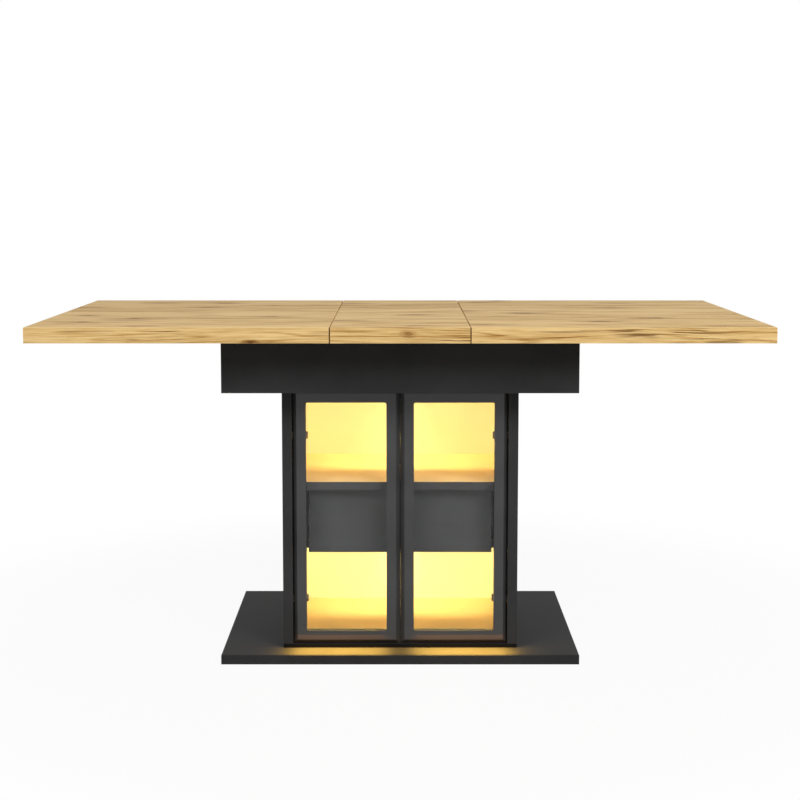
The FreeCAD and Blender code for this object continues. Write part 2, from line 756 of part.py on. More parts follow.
def make_drawers():
    """Inner drawers: bevelled front, grooved sides, back and bottom, on steel rails."""
    front = new_body("drawer_face", ("drawer_centre_gap / 2", "drawer_face_back", "drawer_front_under"))
    outline = new_sketch(front, "drawer_face_outline", "XZ_Plane")
    rectangle(outline, ("0", "0"), ("drawer_front_width", "drawer_front_height"))
    slab = pad(front, outline, "drawer_front_thick")
    face = -number("drawer_front_thick")
    bevel(front, slab, lambda point: abs(point.y - face) < NEAR, "drawer_front_bevel")
    keep_pair(front, "drawer_front")

    groove = box(
        "drawer_groove",
        ("box_cavity + 2 * drawer_groove_depth", "drawer_box_length + 2 * overrun",
         "drawer_bottom_thick + drawer_groove_play"),
        ("box_inner + drawer_board_thick - drawer_groove_depth", "drawer_face_back - overrun", "box_bottom_under"))
    boards = []
    for tag, corner in (("inner", "box_inner"), ("outer", "box_outer - drawer_board_thick")):
        boards.append(box(
            f"drawer_{tag}_board", ("drawer_board_thick", "drawer_box_length", "drawer_box_height"),
            (corner, "drawer_face_back", "box_under")))
    keep_pair(cut("drawer_sides", group("drawer_boards", boards), groove), "drawer_sides")

    bottom_reach = "drawer_groove_depth - drawer_groove_play"
    keep_pair(box(
        "drawer_bottom", (f"box_cavity + 2 * ({bottom_reach})", "drawer_box_length", "drawer_bottom_thick"),
        (f"box_inner + drawer_board_thick - ({bottom_reach})", "drawer_face_back", "box_bottom_under")),
        "drawer_bottom")
    keep_pair(box(
        "drawer_back",
        ("box_cavity", "drawer_board_thick", "drawer_box_height - drawer_bottom_lift - drawer_bottom_thick"),
        ("box_inner + drawer_board_thick", "box_rear - drawer_board_thick", "box_bottom_top")), "drawer_back")

    rails, runners = [], []
    for tag, wall, side in (("inner", "divider_thick / 2", ""), ("outer", "drawer_side_limit", "-")):
        spot = (wall, "drawer_face_back + drawer_rear_gap + rail_length", "rail_under")
        rails.append(bar(f"{tag}_rail", "XZ_Plane", track_outline("rail", side), "rail_length", spot))
        runners.append(bar(f"{tag}_rail_runner", "XZ_Plane", runner_outline("rail", side), "rail_length", spot))
    keep_pair(group("drawer_rails", rails), "drawer_rails")
    keep_pair(group("drawer_runners", runners), "drawer_runners")


def make_lights():
    """Light bars with their diffusers, the driver in the apron box and the outlet in the rear apron."""
    far_wall, ceiling = "light_width - light_wall", "light_height - light_wall"
    channel = [
        ("0", "0"), ("light_wall", "0"), ("light_wall", ceiling), (far_wall, ceiling),
        (far_wall, "0"), ("light_width", "0"), ("light_width", "light_height"), ("0", "light_height"),
    ]
    for level, front, above in (
            ("upper", "light_front", "top_panel_under"), ("lower", "inner_light_front", "lower_shelf_under")):
        keep(bar(
            f"{level}_light", "YZ_Plane", channel, "light_length",
            ("-light_length / 2", front, f"{above} - light_height")), f"{level}_light_profile")
        keep(box(
            f"{level}_diffuser_strip", ("light_length", "light_width - 2 * light_wall", "diffuser_thick"),
            ("-light_length / 2", f"{front} + light_wall", f"{above} - light_height")), f"{level}_light_diffuser")
    keep(bevelled_board(
        "driver", ("driver_length", "driver_width", "driver_height"),
        ("-driver_length / 2", "driver_offset - driver_width / 2", "apron_floor_top"), "driver_edge_bevel"),
        "light_driver")

    grommet = doc.addObject("PartDesign::Body", "grommet")
    grommet.Placement = FreeCAD.Placement(FreeCAD.Vector(), TOWARDS_Y)
    place(grommet, ("0", "-apron_front", "grommet_height"))
    section = new_sketch(grommet, "grommet_section", "XZ_Plane")
    polygon(section, [
        ("grommet_bore_radius", "-apron_thick"),
        ("grommet_sleeve_radius", "-apron_thick"),
        ("grommet_sleeve_radius", "0"),
        ("grommet_flange_radius", "0"),
        ("grommet_flange_radius", "grommet_flange_thick"),
        ("grommet_bore_radius", "grommet_flange_thick"),
    ])
    ring = grommet.newObject("PartDesign::Revolution", "grommet_ring")
    ring.Profile = section
    ring.ReferenceAxis = (section, ["V_Axis"])
    keep(grommet, "cable_grommet")


def check_document():
    doc.recompute()
    for item in doc.Objects:
        if "Invalid" in item.State or "Error" in item.State:
            raise RuntimeError(f"{item.Label} did not build: {item.State}")
    for piece in nodes:
        if piece.Shape.isNull() or not piece.Shape.isValid() or not piece.Shape.Solids:
            raise RuntimeError(f"{piece.Label} has no valid solid")


def write_parts():
    os.makedirs("parts", exist_ok=True)
    for piece in nodes:
        piece.Shape.exportStep(f"parts/{piece.Label}.step")


base_bores, hinge_bores, dowel_bores = make_fasteners()
make_base(base_bores)
make_carcass(base_bores, hinge_bores, dowel_bores)
make_apron()
make_top()
make_doors()
make_hinge_arms(hinge_bores)
make_drawers()
make_lights()
check_document()
write_parts()
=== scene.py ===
"""Looks for the extending kitchen table with storage cabinet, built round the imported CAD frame.

All lengths are metres and all colours are linear RGB. The frame's pieces keep their shapes and get
their materials here. The light bars in the cabinet get lamps of their own.
"""

import math

import bmesh
import bpy
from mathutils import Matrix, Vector


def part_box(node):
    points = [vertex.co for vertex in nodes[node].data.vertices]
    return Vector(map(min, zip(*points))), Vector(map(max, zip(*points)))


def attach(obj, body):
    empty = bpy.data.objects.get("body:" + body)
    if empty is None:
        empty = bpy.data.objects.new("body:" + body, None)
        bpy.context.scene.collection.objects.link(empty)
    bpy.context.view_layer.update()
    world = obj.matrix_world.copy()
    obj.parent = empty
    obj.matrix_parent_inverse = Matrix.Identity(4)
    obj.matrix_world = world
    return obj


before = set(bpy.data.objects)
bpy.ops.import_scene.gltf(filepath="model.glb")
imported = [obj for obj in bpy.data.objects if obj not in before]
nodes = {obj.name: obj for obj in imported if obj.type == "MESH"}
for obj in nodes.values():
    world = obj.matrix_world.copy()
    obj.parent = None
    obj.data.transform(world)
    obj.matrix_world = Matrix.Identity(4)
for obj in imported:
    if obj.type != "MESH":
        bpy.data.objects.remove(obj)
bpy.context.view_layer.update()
scene = bpy.context.scene

# Camera, fitted to the photograph's edges. The picture is 800 x 800.
PICTURE = 800
FOCAL_PIXELS = 1522.4
AXIS_PIXEL = (400.2, 346.3)
CAMERA_PLACE = (0.0, -3.6137, 1.0638)
CAMERA_PITCH = math.radians(5.844)
SENSOR = 36.0

# Studio light
WHITE = (1.0, 1.0, 1.0, 1.0)
SKY_LEVEL = 0.30
BACKDROP_LEVEL = 1.0
FLOOR_GREY = (0.55, 0.55, 0.55, 1.0)
FLOOR_ROUGHNESS = 0.9
FLOOR_SIZE = 30.0
FLOOR_BLEND = (0.8, 1.6)
FLOOR_WHITE_SHARES = (0.94, 1.0)
KEY_PLACE = (2.5, -3.2, 3.2)
KEY_SIZE = 1.8
KEY_POWER = 142.0
KEY_LEFT_SHARE = 0.64
KEY_TARGET = (0.0, 0.0, 0.45)

# Light bars in the cabinet, and the light that falls out of the windows
BAR_COLOUR = (1.0, 0.90, 0.43)
BAR_BEAM = math.radians(84.0)
BAR_TILT = math.radians(72.0)
BAR_POWER = 3.15
BAR_LENGTH = 0.40
BAR_WIDTH = 0.012
BAR_DROP = 0.001
GLOW_COLOUR = (1.0, 0.58, 0.10)
GLOW_POWER = 2.2
GLOW_DOOR_COLOUR = (1.0, 0.34, 0.03)
GLOW_DOOR_POWER = 0.15
GLOW_SIZE = (0.205, 0.058)
GLOW_PLACE = (0.1385, -0.250, 0.054)

SIDES = (("left", -1), ("right", 1))


class Recipe:
    """One material's node tree, with short ways to add nodes to it."""

    def __init__(self, name):
        self.material = bpy.data.materials.new(name)
        self.material.use_nodes = True
        self.tree = self.material.node_tree
        self.surface = self.tree.nodes["Principled BSDF"]

    def add(self, kind, inputs=None, **settings):
        made = self.tree.nodes.new(kind)
        for name, value in settings.items():
            setattr(made, name, value)
        for key, value in (inputs or {}).items():
            self.put(made.inputs[key], value)
        return made

    def put(self, socket, value):
        if isinstance(value, bpy.types.NodeSocket):
            self.tree.links.new(value, socket)
        else:
            socket.default_value = value

    def set(self, **values):
        """Values of the main shader, by socket name with underscores for spaces."""
        for name, value in values.items():
            self.put(self.surface.inputs[name.replace("_", " ")], value)

    def math(self, operation, first, second=0.0, third=0.0):
        made = self.add("ShaderNodeMath", {0: first, 1: second, 2: third}, operation=operation)
        return made.outputs[0]

    def step(self, value, low, high, start=0.0, end=1.0):
        """A smooth step of value from low to high."""
        made = self.add(
            "ShaderNodeMapRange",
            {"Value": value, "From Min": low, "From Max": high, "To Min": start, "To Max": end},
            interpolation_type="SMOOTHSTEP",
        )
        return made.outputs[0]

    def fade(self, value, low, high):
        """A smooth step of value down from 1 at low to 0 at high."""
        return self.step(value, low, high, 1.0, 0.0)

    def blend(self, share, first, second):
        """Two numbers mixed by share."""
        made = self.add("ShaderNodeMix", {0: share, 2: first, 3: second}, data_type="FLOAT")
        return made.outputs[0]

    def tint(self, share, first, second):
        """Two colours mixed by share."""
        made = self.add("ShaderNodeMix", {0: share, 6: first, 7: second}, data_type="RGBA")
        return made.outputs[2]

    def vector(self, x, y, z):
        return self.add("ShaderNodeCombineXYZ", {0: x, 1: y, 2: z}).outputs[0]

    def split(self, value):
        return self.add("ShaderNodeSeparateXYZ", {0: value}).outputs

    def coordinates(self, which="Object"):
        return self.add("ShaderNodeTexCoord").outputs[which]

    def noise(self, vector, scale, detail, roughness=0.5):
        inputs = {"Vector": vector, "Scale": scale, "Detail": detail, "Roughness": roughness}
        return self.add("ShaderNodeTexNoise", inputs).outputs[0]

    def ramp(self, value, stops):
        made = self.add("ShaderNodeValToRGB", {0: value})
        points = made.color_ramp.elements
        while len(points) < len(stops):
            points.new(0.5)
        for point, (place, colour) in zip(points, stops):
            point.position = place
            point.color = (*colour, 1.0)
        return made.outputs[0]

    def bump(self, height, strength, distance):
        inputs = {"Height": height, "Strength": strength, "Distance": distance}
        return self.add("ShaderNodeBump", inputs).outputs[0]


EDGE_TURN = (0.80, 0.995)


def edge_share(r, radius):
    """1 along a board's sharp edges and 0 elsewhere."""
    rounded = r.add("ShaderNodeBevel", {"Radius": radius}, samples=4).outputs[0]
    plain = r.add("ShaderNodeNewGeometry").outputs["Normal"]
    turn = r.add("ShaderNodeVectorMath", {0: rounded, 1: plain}, operation="DOT_PRODUCT")
    return r.fade(turn.outputs["Value"], *EDGE_TURN)


# Oak decor: planks of long grain, with knots and short cracks, a painted highlight along the boards'
# edges and painted shade beside the leaf's seams.
# A stretch is a noise's scale along and across the grain, and a level keeps it apart from the others.
FACING = 0.7
PLANK_WIDTH = 0.118
PLANK_START = 0.043
PLANK_JUMP = (5.3, 2.9)
JOINT_REACH = (0.0002, 0.0012)
JOINT_SHARE = 0.45
WANDER_STRETCH = (1.7, 5.0)
WANDER_REACH = 0.03
KNOT_LENGTH = 0.31
KNOT_HEIGHT = 0.115
KNOT_LOT = 0.42
KNOT_WOBBLE = 0.36
KNOT_SPREAD_SHARE = 0.55
WOBBLE_STRETCH = (22.0, 60.0)
WOBBLE_LEVEL = 0.3
HALO_REACH = (0.03, 0.30)
HALO_SHARE = 0.55
CORE_REACH = (0.02, 0.10)
HEART_LIMITS = (0.38, 0.58)
HEART_SHARES = (0.4, 0.95)
FIBRE_STRETCH = (11.0, 300.0)
STREAK_STRETCH = (2.6, 66.0)
BAND_STRETCH = (2.8, 20.0)
RING_STRETCH = (1.8, 52.0)
RING_LEVEL = 7.7
RINGS = 8.0
LATE_WOOD_SHARE = 0.28
LATE_WOOD_WEIGHT = -0.17
CRACK_STRETCH = (6.5, 300.0)
CRACK_LEVEL = 2.7
CRACK_LIMITS = (0.55, 0.61)
ZONE_STRETCH = (4.6, 17.0)
ZONE_LEVEL = 5.1
SEAM_SHADE_REACH = 0.0017
SEAM_SHADE_SOFT_SHARE = 0.6
OAK_HIGHLIGHT_REACH = 0.0015
OAK_HIGHLIGHT_SHARE = 0.5
OAK_ROUGHNESS = 0.45
OAK_FIBRE_ROUGHNESS = 0.16
OAK_RELIEF = (0.25, 0.0004)

# Pairs for the boards' edges and for their flat faces
KNOT_SHRINK = (3.6, 1.0)
OAK_MIDDLE = (0.565, 0.606)
STREAK_WEIGHT = (0.36, 0.36)
FIBRE_WEIGHT = (0.7, 0.7)
BAND_WEIGHT = (0.16, 0.7)
PLANK_WEIGHT = (0.02, 0.09)
ZONE_START = (0.46, 0.55)
ZONE_END = (0.60, 0.70)
CRACK_SHARE = (0.85, 0.6)

OAK_STOPS = (
    (0.28, (0.26, 0.125, 0.033)),
    (0.41, (0.45, 0.265, 0.088)),
    (0.51, (0.60, 0.39, 0.152)),
    (0.66, (0.74, 0.52, 0.235)),
)
OAK_BROWN = (0.33, 0.155, 0.042, 1.0)
OAK_DARK = (0.12, 0.047, 0.010, 1.0)
OAK_EDGE_HIGHLIGHT = (0.84, 0.66, 0.36, 1.0)
leaf_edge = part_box("top_leaf")[1].x
half_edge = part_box("right_top_half")[0].x
SEAM_PLACE = (leaf_edge + half_edge) / 2


def grain_noise(r, grain, stretch, level, detail, roughness=0.5):
    """Noise drawn out along the grain. grain holds the places along and across it."""
    along, across = [r.math("MULTIPLY", place, scale) for place, scale in zip(grain, stretch)]
    return r.noise(r.vector(along, across, level), 1.0, detail, roughness)


def from_middle(r, noise):
    return r.math("SUBTRACT", noise, 0.5)


def oak_planks(r, side, shift):
    """Each plank's own number from 0 to 1, and the share of the dark joints between planks."""
    from_start = r.math("ADD", side, PLANK_START)
    row = r.math("FLOOR", r.math("DIVIDE", from_start, PLANK_WIDTH))
    plank = r.add("ShaderNodeTexWhiteNoise", {"Vector": r.vector(row, shift, 0.0)}).outputs[0]
    rim = r.math("PINGPONG", from_start, PLANK_WIDTH / 2)
    return plank, r.fade(rim, *JOINT_REACH)


def oak_knots(r, grain, flat):
    """Shares of the knots' halos and cores, and the grain's places bent round the knots."""
    along, across = grain
    knot_along = r.math("DIVIDE", along, KNOT_LENGTH)
    knot_across = r.math("DIVIDE", across, KNOT_HEIGHT)
    cell = r.add(
        "ShaderNodeTexVoronoi",
        {"Vector": r.vector(knot_along, knot_across, 0.0), "Scale": 1.0},
        voronoi_dimensions="2D",
    )
    wobble = grain_noise(r, grain, WOBBLE_STRETCH, WOBBLE_LEVEL, 3.0)
    reach = r.math("MULTIPLY", cell.outputs["Distance"], r.blend(flat, *KNOT_SHRINK))
    reach = r.math("MULTIPLY_ADD", from_middle(r, wobble), KNOT_WOBBLE, reach)
    chosen = r.math("GREATER_THAN", r.split(cell.outputs["Color"])[0], KNOT_LOT)
    halo = r.math("MULTIPLY", r.fade(reach, *HALO_REACH), chosen)
    core = r.math("MULTIPLY", r.fade(reach, *CORE_REACH), chosen)
    middle = r.split(cell.outputs["Position"])[1]
    spread = r.math("SUBTRACT", knot_across, middle)
    spread = r.math("MULTIPLY", spread, KNOT_HEIGHT * KNOT_SPREAD_SHARE)
    across = r.math("SUBTRACT", across, r.math("MULTIPLY", halo, spread))
    return halo, core, (along, across)


def oak_tone(r, grain, flat, shift, fibre, plank):
    """The wood's tone, before knots and cracks: darker below 0.5 and paler above."""
    streak = grain_noise(r, grain, STREAK_STRETCH, shift, 4.0, 0.66)
    band = grain_noise(r, grain, BAND_STRETCH, shift, 3.0, 0.6)
    rings = grain_noise(r, grain, RING_STRETCH, RING_LEVEL, 1.0)
    rings = r.math("PINGPONG", rings, 1.0 / RINGS)
    late_wood = r.fade(rings, 0.0, LATE_WOOD_SHARE / RINGS)
    tone = r.blend(flat, *OAK_MIDDLE)
    figures = (
        (streak, STREAK_WEIGHT),
        (fibre, FIBRE_WEIGHT),
        (band, BAND_WEIGHT),
        (plank, PLANK_WEIGHT),
    )
    for figure, weight in figures:
        swing = r.math("MULTIPLY", from_middle(r, figure), r.blend(flat, *weight))
        tone = r.math("ADD", tone, swing)
    return r.math("MULTIPLY_ADD", late_wood, LATE_WOOD_WEIGHT, tone)


def oak(name, shift):
    """Oak decor whose grain runs along the board and folds over its edges; shift moves the pattern."""
    r = Recipe(name)
    x, y, z = r.split(r.coordinates())
    normal = r.split(r.coordinates("Normal"))
    end = r.math("GREATER_THAN", r.math("ABSOLUTE", normal[0]), FACING)
    flat = r.math("GREATER_THAN", r.math("ABSOLUTE", normal[2]), FACING)
    along = r.math("ADD", r.blend(end, x, y), shift)
    side = r.math("ADD", r.blend(end, y, x), z)
    plank, joint = oak_planks(r, side, shift)

    jump_along, jump_across = PLANK_JUMP
    along = r.math("MULTIPLY_ADD", plank, jump_along, along)
    across = r.math("MULTIPLY_ADD", plank, jump_across, side)
    wander = grain_noise(r, (along, across), WANDER_STRETCH, shift, 2.0)
    across = r.math("MULTIPLY_ADD", from_middle(r, wander), WANDER_REACH, across)
    halo, core, grain = oak_knots(r, (along, across), flat)

    fibre = grain_noise(r, grain, FIBRE_STRETCH, shift, 4.0, 0.65)
    colour = r.ramp(oak_tone(r, grain, flat, shift, fibre, plank), OAK_STOPS)

    crack_noise = grain_noise(r, grain, CRACK_STRETCH, CRACK_LEVEL, 2.0)
    crack_zone = grain_noise(r, grain, ZONE_STRETCH, ZONE_LEVEL, 1.0)
    zone = r.step(crack_zone, r.blend(flat, *ZONE_START), r.blend(flat, *ZONE_END))
    zone = r.math("MAXIMUM", zone, halo)
    crack = r.math("MULTIPLY", r.step(crack_noise, *CRACK_LIMITS), zone)
    heart = r.math("MULTIPLY", core, r.step(crack_noise, *HEART_LIMITS, *HEART_SHARES))
    # Painted shade: the top and front faces darken beside the gaps between the leaf and the halves, but
    # not the end faces themselves.
    from_seam = r.math("ABSOLUTE", r.math("SUBTRACT", r.math("ABSOLUTE", x), SEAM_PLACE))
    seam_shade_band = r.fade(from_seam, SEAM_SHADE_REACH * SEAM_SHADE_SOFT_SHARE, SEAM_SHADE_REACH)

    colour = r.tint(r.math("MULTIPLY", halo, HALO_SHARE), colour, OAK_BROWN)
    colour = r.tint(r.math("MULTIPLY", crack, r.blend(flat, *CRACK_SHARE)), colour, OAK_DARK)
    colour = r.tint(heart, colour, OAK_DARK)
    colour = r.tint(r.math("MULTIPLY", joint, JOINT_SHARE), colour, OAK_BROWN)
    # Painted highlight: the boards' edges are tinted paler.
    edge_highlight = r.math("MULTIPLY", edge_share(r, OAK_HIGHLIGHT_REACH), OAK_HIGHLIGHT_SHARE)
    colour = r.tint(edge_highlight, colour, OAK_EDGE_HIGHLIGHT)
    colour = r.tint(r.math("SUBTRACT", seam_shade_band, end), colour, OAK_DARK)
    hollow = r.math("MAXIMUM", r.math("MAXIMUM", crack, core), joint)
    height = r.math("SUBTRACT", r.math("MULTIPLY", fibre, 0.5), hollow)
    roughness = r.math("MULTIPLY_ADD", fibre, OAK_FIBRE_ROUGHNESS, OAK_ROUGHNESS)
    r.set(
        Base_Color=colour,
        Roughness=r.math("MAXIMUM", roughness, seam_shade_band),
        Specular_IOR_Level=0.05,
        Normal=r.bump(height, *OAK_RELIEF),
    )
    return r.material


# Laminated boards
BLACK = (0.027, 0.027, 0.0273)
BLACK_DOOR = (0.037, 0.037, 0.0372)
BLACK_CABINET = (0.033, 0.033, 0.0332)
BLACK_DRAWER = (0.046, 0.046, 0.0462)
BLACK_RUBBER = (0.022, 0.022, 0.022)
BLACK_EDGE_HIGHLIGHT = (0.06, 0.06, 0.06, 1.0)
PALE = (0.78, 0.70, 0.52)
TAN = (0.69, 0.51, 0.25)
TAN_BOTTOM = (0.62, 0.46, 0.22)
BLACK_SPREAD = 0.12
LINING_SPREAD = 0.03
CLOUD_SCALE = 9.0
CLOUD_LIMITS = (0.3, 0.7)
PEARL_SCALE = 1100.0
PEARL_RELIEF = (0.12, 0.0002)
BOARD_HIGHLIGHT_REACH = 0.0012
HIGHLIGHT_PATCH_LIMITS = (0.2, 0.8)
HIGHLIGHT_PATCH_SHARES = (0.15, 0.5)
INSIDE_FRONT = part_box("upper_shelf")[0].y
INSIDE_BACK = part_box("back_panel")[0].y


def board_grain(r, colour, spread):
    """A plain board colour with slight clouds, and the fine pearl height of a pressed laminate."""
    place = r.coordinates()
    cloud = r.noise(place, CLOUD_SCALE, 3.0)
    pearl = r.noise(place, PEARL_SCALE, 2.0)
    dark = tuple(c * (1.0 - spread) for c in colour) + (1.0,)
    light = tuple(c * (1.0 + spread) for c in colour) + (1.0,)
    return r.tint(r.step(cloud, *CLOUD_LIMITS), dark, light), cloud, pearl


def black_board(name, shade, roughness, specular):
    """A black board with a painted highlight along its edges, in patches."""
    r = Recipe(name)
    colour, cloud, pearl = board_grain(r, shade, BLACK_SPREAD)
    # Painted highlight: patches along the edges are tinted paler.
    patchy = r.step(cloud, *HIGHLIGHT_PATCH_LIMITS, *HIGHLIGHT_PATCH_SHARES)
    painted_highlight = r.math("MULTIPLY", edge_share(r, BOARD_HIGHLIGHT_REACH), patchy)
    r.set(
        Base_Color=r.tint(painted_highlight, colour, BLACK_EDGE_HIGHLIGHT),
        Roughness=r.math("MULTIPLY_ADD", cloud, 0.08, roughness),
        Specular_IOR_Level=specular,
        Normal=r.bump(pearl, *PEARL_RELIEF),
    )
    return r.material


def lined_board(name, lined_where, lining, shade=BLACK):
    """A board that is lined inside the cabinet and black elsewhere. lined_where(r) gives that share."""
    r = Recipe(name)
    black, cloud, pearl = board_grain(r, shade, BLACK_SPREAD)
    pale = board_grain(r, lining, LINING_SPREAD)[0]
    r.set(
        Base_Color=r.tint(lined_where(r), black, pale),
        Roughness=r.math("MULTIPLY_ADD", cloud, 0.12, 0.44),
        Specular_IOR_Level=0.06,
        Normal=r.bump(pearl, *PEARL_RELIEF),
    )
    return r.material


def inside(r, y):
    """1 between the doors and the back panel."""
    behind_doors = r.math("GREATER_THAN", y, INSIDE_FRONT)
    return r.math("MULTIPLY", behind_doors, r.math("LESS_THAN", y, INSIDE_BACK))


def not_front(r):
    """Everything but the faces that look to the front."""
    return r.math("GREATER_THAN", r.split(r.coordinates("Normal"))[1], -0.5)


def looks_forward(r):
    return r.math("LESS_THAN", r.split(r.coordinates("Normal"))[1], -0.5)


def looks_to_middle(r):
    """Faces that look to the cabinet's middle, inside it."""
    normal = r.split(r.coordinates("Normal"))
    place = r.split(r.coordinates())
    inward = r.math("LESS_THAN", r.math("MULTIPLY", normal[0], place[0]), -0.05)
    return r.math("MULTIPLY", inward, inside(r, place[1]))


def looks_up_inside(r):
    normal = r.split(r.coordinates("Normal"))
    place = r.split(r.coordinates())
    up = r.math("GREATER_THAN", normal[2], 0.5)
    return r.math("MULTIPLY", up, inside(r, place[1]))


# Hardware, glass and lights
BRUSHED_SCALE = 700.0
BRUSHED_LONG_SCALE = 12.0
STAIN_SCALE = 25.0
STAIN_LIMITS = (0.35, 0.7)
STAIN_DARK_SHARE = 0.82
METAL_RELIEF = (0.15, 0.0001)
PLASTIC_SPREAD = 0.1
PLASTIC_RELIEF = (0.2, 0.0002)
BEECH_LONG_SCALE = 12.0
BEECH_CROSS_SCALE = 190.0
BEECH_STOPS = ((0.3, (0.55, 0.37, 0.2)), (0.7, (0.72, 0.53, 0.33)))
BEECH_FLECK = (0.38, 0.23, 0.11, 1.0)
BEECH_FLECK_SCALE = 3.1
BEECH_FLECK_LIMITS = (0.62, 0.7)
BEECH_FLECK_SHARES = (0.0, 0.5)
BEECH_RELIEF = (0.2, 0.0003)
GLASS_TINT = (0.985, 0.995, 0.99, 1.0)
GLASS_FILM_SCALE = 14.0
GLASS_FILM_LIMITS = (0.45, 0.8)
GLASS_ROUGHNESS = (0.0, 0.02)
OPAL = (0.9, 0.86, 0.74, 1.0)
OPAL_GLOW = (1.0, 0.74, 0.34, 1.0)
OPAL_STRENGTH = (1.3, 1.9)
LIGHT_POINT_PITCH = 0.0167


def metal(name, colour, roughness, brushed_axis):
    """Drawn metal with fine lines along one axis and slight stains."""
    r = Recipe(name)
    place = r.coordinates()
    stretch = [BRUSHED_SCALE] * 3
    stretch[brushed_axis] = BRUSHED_LONG_SCALE
    lines_at = r.add("ShaderNodeVectorMath", {0: place, 1: stretch}, operation="MULTIPLY")
    lines = r.noise(lines_at.outputs[0], 1.0, 3.0)
    stain = r.noise(place, STAIN_SCALE, 3.0)
    dark = tuple(c * STAIN_DARK_SHARE for c in colour) + (1.0,)
    r.set(
        Base_Color=r.tint(r.step(stain, *STAIN_LIMITS), dark, (*colour, 1.0)),
        Metallic=1.0,
        Roughness=r.math("MULTIPLY_ADD", lines, 0.18, roughness),
        Normal=r.bump(lines, *METAL_RELIEF),
    )
    return r.material


def plastic(name, colour, roughness):
    r = Recipe(name)
    grain, cloud, pearl = board_grain(r, colour, PLASTIC_SPREAD)
    r.set(
        Base_Color=grain,
        Roughness=r.math("MULTIPLY_ADD", cloud, 0.1, roughness),
        Normal=r.bump(pearl, *PLASTIC_RELIEF),
    )
    return r.material


def beech(name):
    """Plain beech with its grain along x and short dark flecks."""
    r = Recipe(name)
    x, y, z = r.split(r.coordinates())
    across = [r.math("MULTIPLY", part, BEECH_CROSS_SCALE) for part in (y, z)]
    stretched = r.vector(r.math("MULTIPLY", x, BEECH_LONG_SCALE), *across)
    fibre = r.noise(stretched, 1.0, 4.0)
    fleck = r.noise(stretched, BEECH_FLECK_SCALE, 1.0)
    fleck_share = r.step(fleck, *BEECH_FLECK_LIMITS, *BEECH_FLECK_SHARES)
    r.set(
        Base_Color=r.tint(fleck_share, r.ramp(fibre, BEECH_STOPS), BEECH_FLECK),
        Roughness=0.6,
        Normal=r.bump(fibre, *BEECH_RELIEF),
    )
    return r.material


def glass(name):
    """Clear float glass, with a little uneven polish."""
    r = Recipe(name)
    film = r.noise(r.coordinates(), GLASS_FILM_SCALE, 3.0)
    r.set(
        Base_Color=GLASS_TINT,
        Roughness=r.step(film, *GLASS_FILM_LIMITS, *GLASS_ROUGHNESS),
        IOR=1.27,
        Transmission_Weight=1.0,
    )
    return r.material


def diffuser(name):
    """Opal cover of a light bar: it glows, a little brighter over each light point."""
    r = Recipe(name)
    x = r.split(r.coordinates())[0]
    dots = r.math("COSINE", r.math("MULTIPLY", x, math.tau / LIGHT_POINT_PITCH))
    r.set(
        Base_Color=OPAL,
        Roughness=0.4,
        Emission_Color=OPAL_GLOW,
        Emission_Strength=r.step(dots, -1.0, 1.0, *OPAL_STRENGTH),
    )
    return r.material


def paint(material, *names):
    for name in names:
        slots = nodes[name].data.materials
        slots.clear()
        slots.append(material)


def both(name):
    return ("left_" + name, "right_" + name)


paint(oak("oak_left", 0.37), "left_top_half")
paint(oak("oak_leaf", 4.21), "top_leaf")
paint(oak("oak_right", 7.93), "right_top_half")

matte_black = black_board("black_board", BLACK, 0.5, 0.05)
paint(matte_black, "base_plate", "front_apron", "rear_apron", *both("apron"), "apron_floor")
paint(matte_black, *both("drawer_packer"))
door_black = black_board("black_door", BLACK_DOOR, 0.28, 0.42)
paint(door_black, *both("door_frame"), *both("glazing_beads"))
paint(black_board("black_drawer", BLACK_DRAWER, 0.42, 0.1), *both("drawer_front"))

lined_sides = lined_board("lined_side_board", looks_to_middle, PALE, BLACK_CABINET)
paint(lined_sides, *both("side_panel"))
paint(lined_board("lined_bottom_board", looks_up_inside, TAN_BOTTOM), "bottom_panel")
paint(lined_board("lined_back_board", looks_forward, PALE), "back_panel")
edged = lined_board("pale_board_black_edge", not_front, TAN, BLACK_DRAWER)
paint(edged, "top_panel", "upper_shelf", "lower_shelf", "drawer_divider")
pale_drawer = lined_board("pale_drawer_board", not_front, PALE)
paint(pale_drawer, *both("drawer_sides"), *both("drawer_back"), *both("drawer_bottom"))

# The panes cast no shadow, so that lamp light passes through them.
paint(glass("clear_glass"), *both("door_glass"))
for pane in both("door_glass"):
    nodes[pane].visible_shadow = False

X_AXIS, Y_AXIS, Z_AXIS = range(3)
zinc_steel = metal("zinc_steel_along_x", (0.58, 0.59, 0.61), 0.3, X_AXIS)
paint(zinc_steel, "front_slide_track", "rear_slide_track", *both("slide_runners"))
black_steel = metal("black_steel_along_y", (0.10, 0.10, 0.105), 0.34, Y_AXIS)
paint(black_steel, *both("drawer_rails"), *both("drawer_runners"))
dark_nickel = metal("nickel_steel", (0.16, 0.155, 0.15), 0.32, Z_AXIS)
paint(dark_nickel, *both("hinge_arms"), *both("hinge_pins"), *both("hinge_screws"), "base_screws")
aluminium = metal("bar_aluminium", (0.7, 0.7, 0.71), 0.32, X_AXIS)
paint(aluminium, "upper_light_profile", "lower_light_profile")
paint(diffuser("opal_diffuser"), "upper_light_diffuser", "lower_light_diffuser")
paint(plastic("glide_plastic", (0.08, 0.08, 0.08), 0.5), "glide_pads")
paint(plastic("black_plastic", (0.03, 0.03, 0.03), 0.4), "cable_grommet", "light_driver")
paint(beech("beech"), "panel_dowels", *both("battens"), "apron_corner_blocks")

unpainted = [name for name, o in nodes.items() if not o.data.materials]
if unpainted:
    raise SystemExit("no material on " + ", ".join(unpainted))


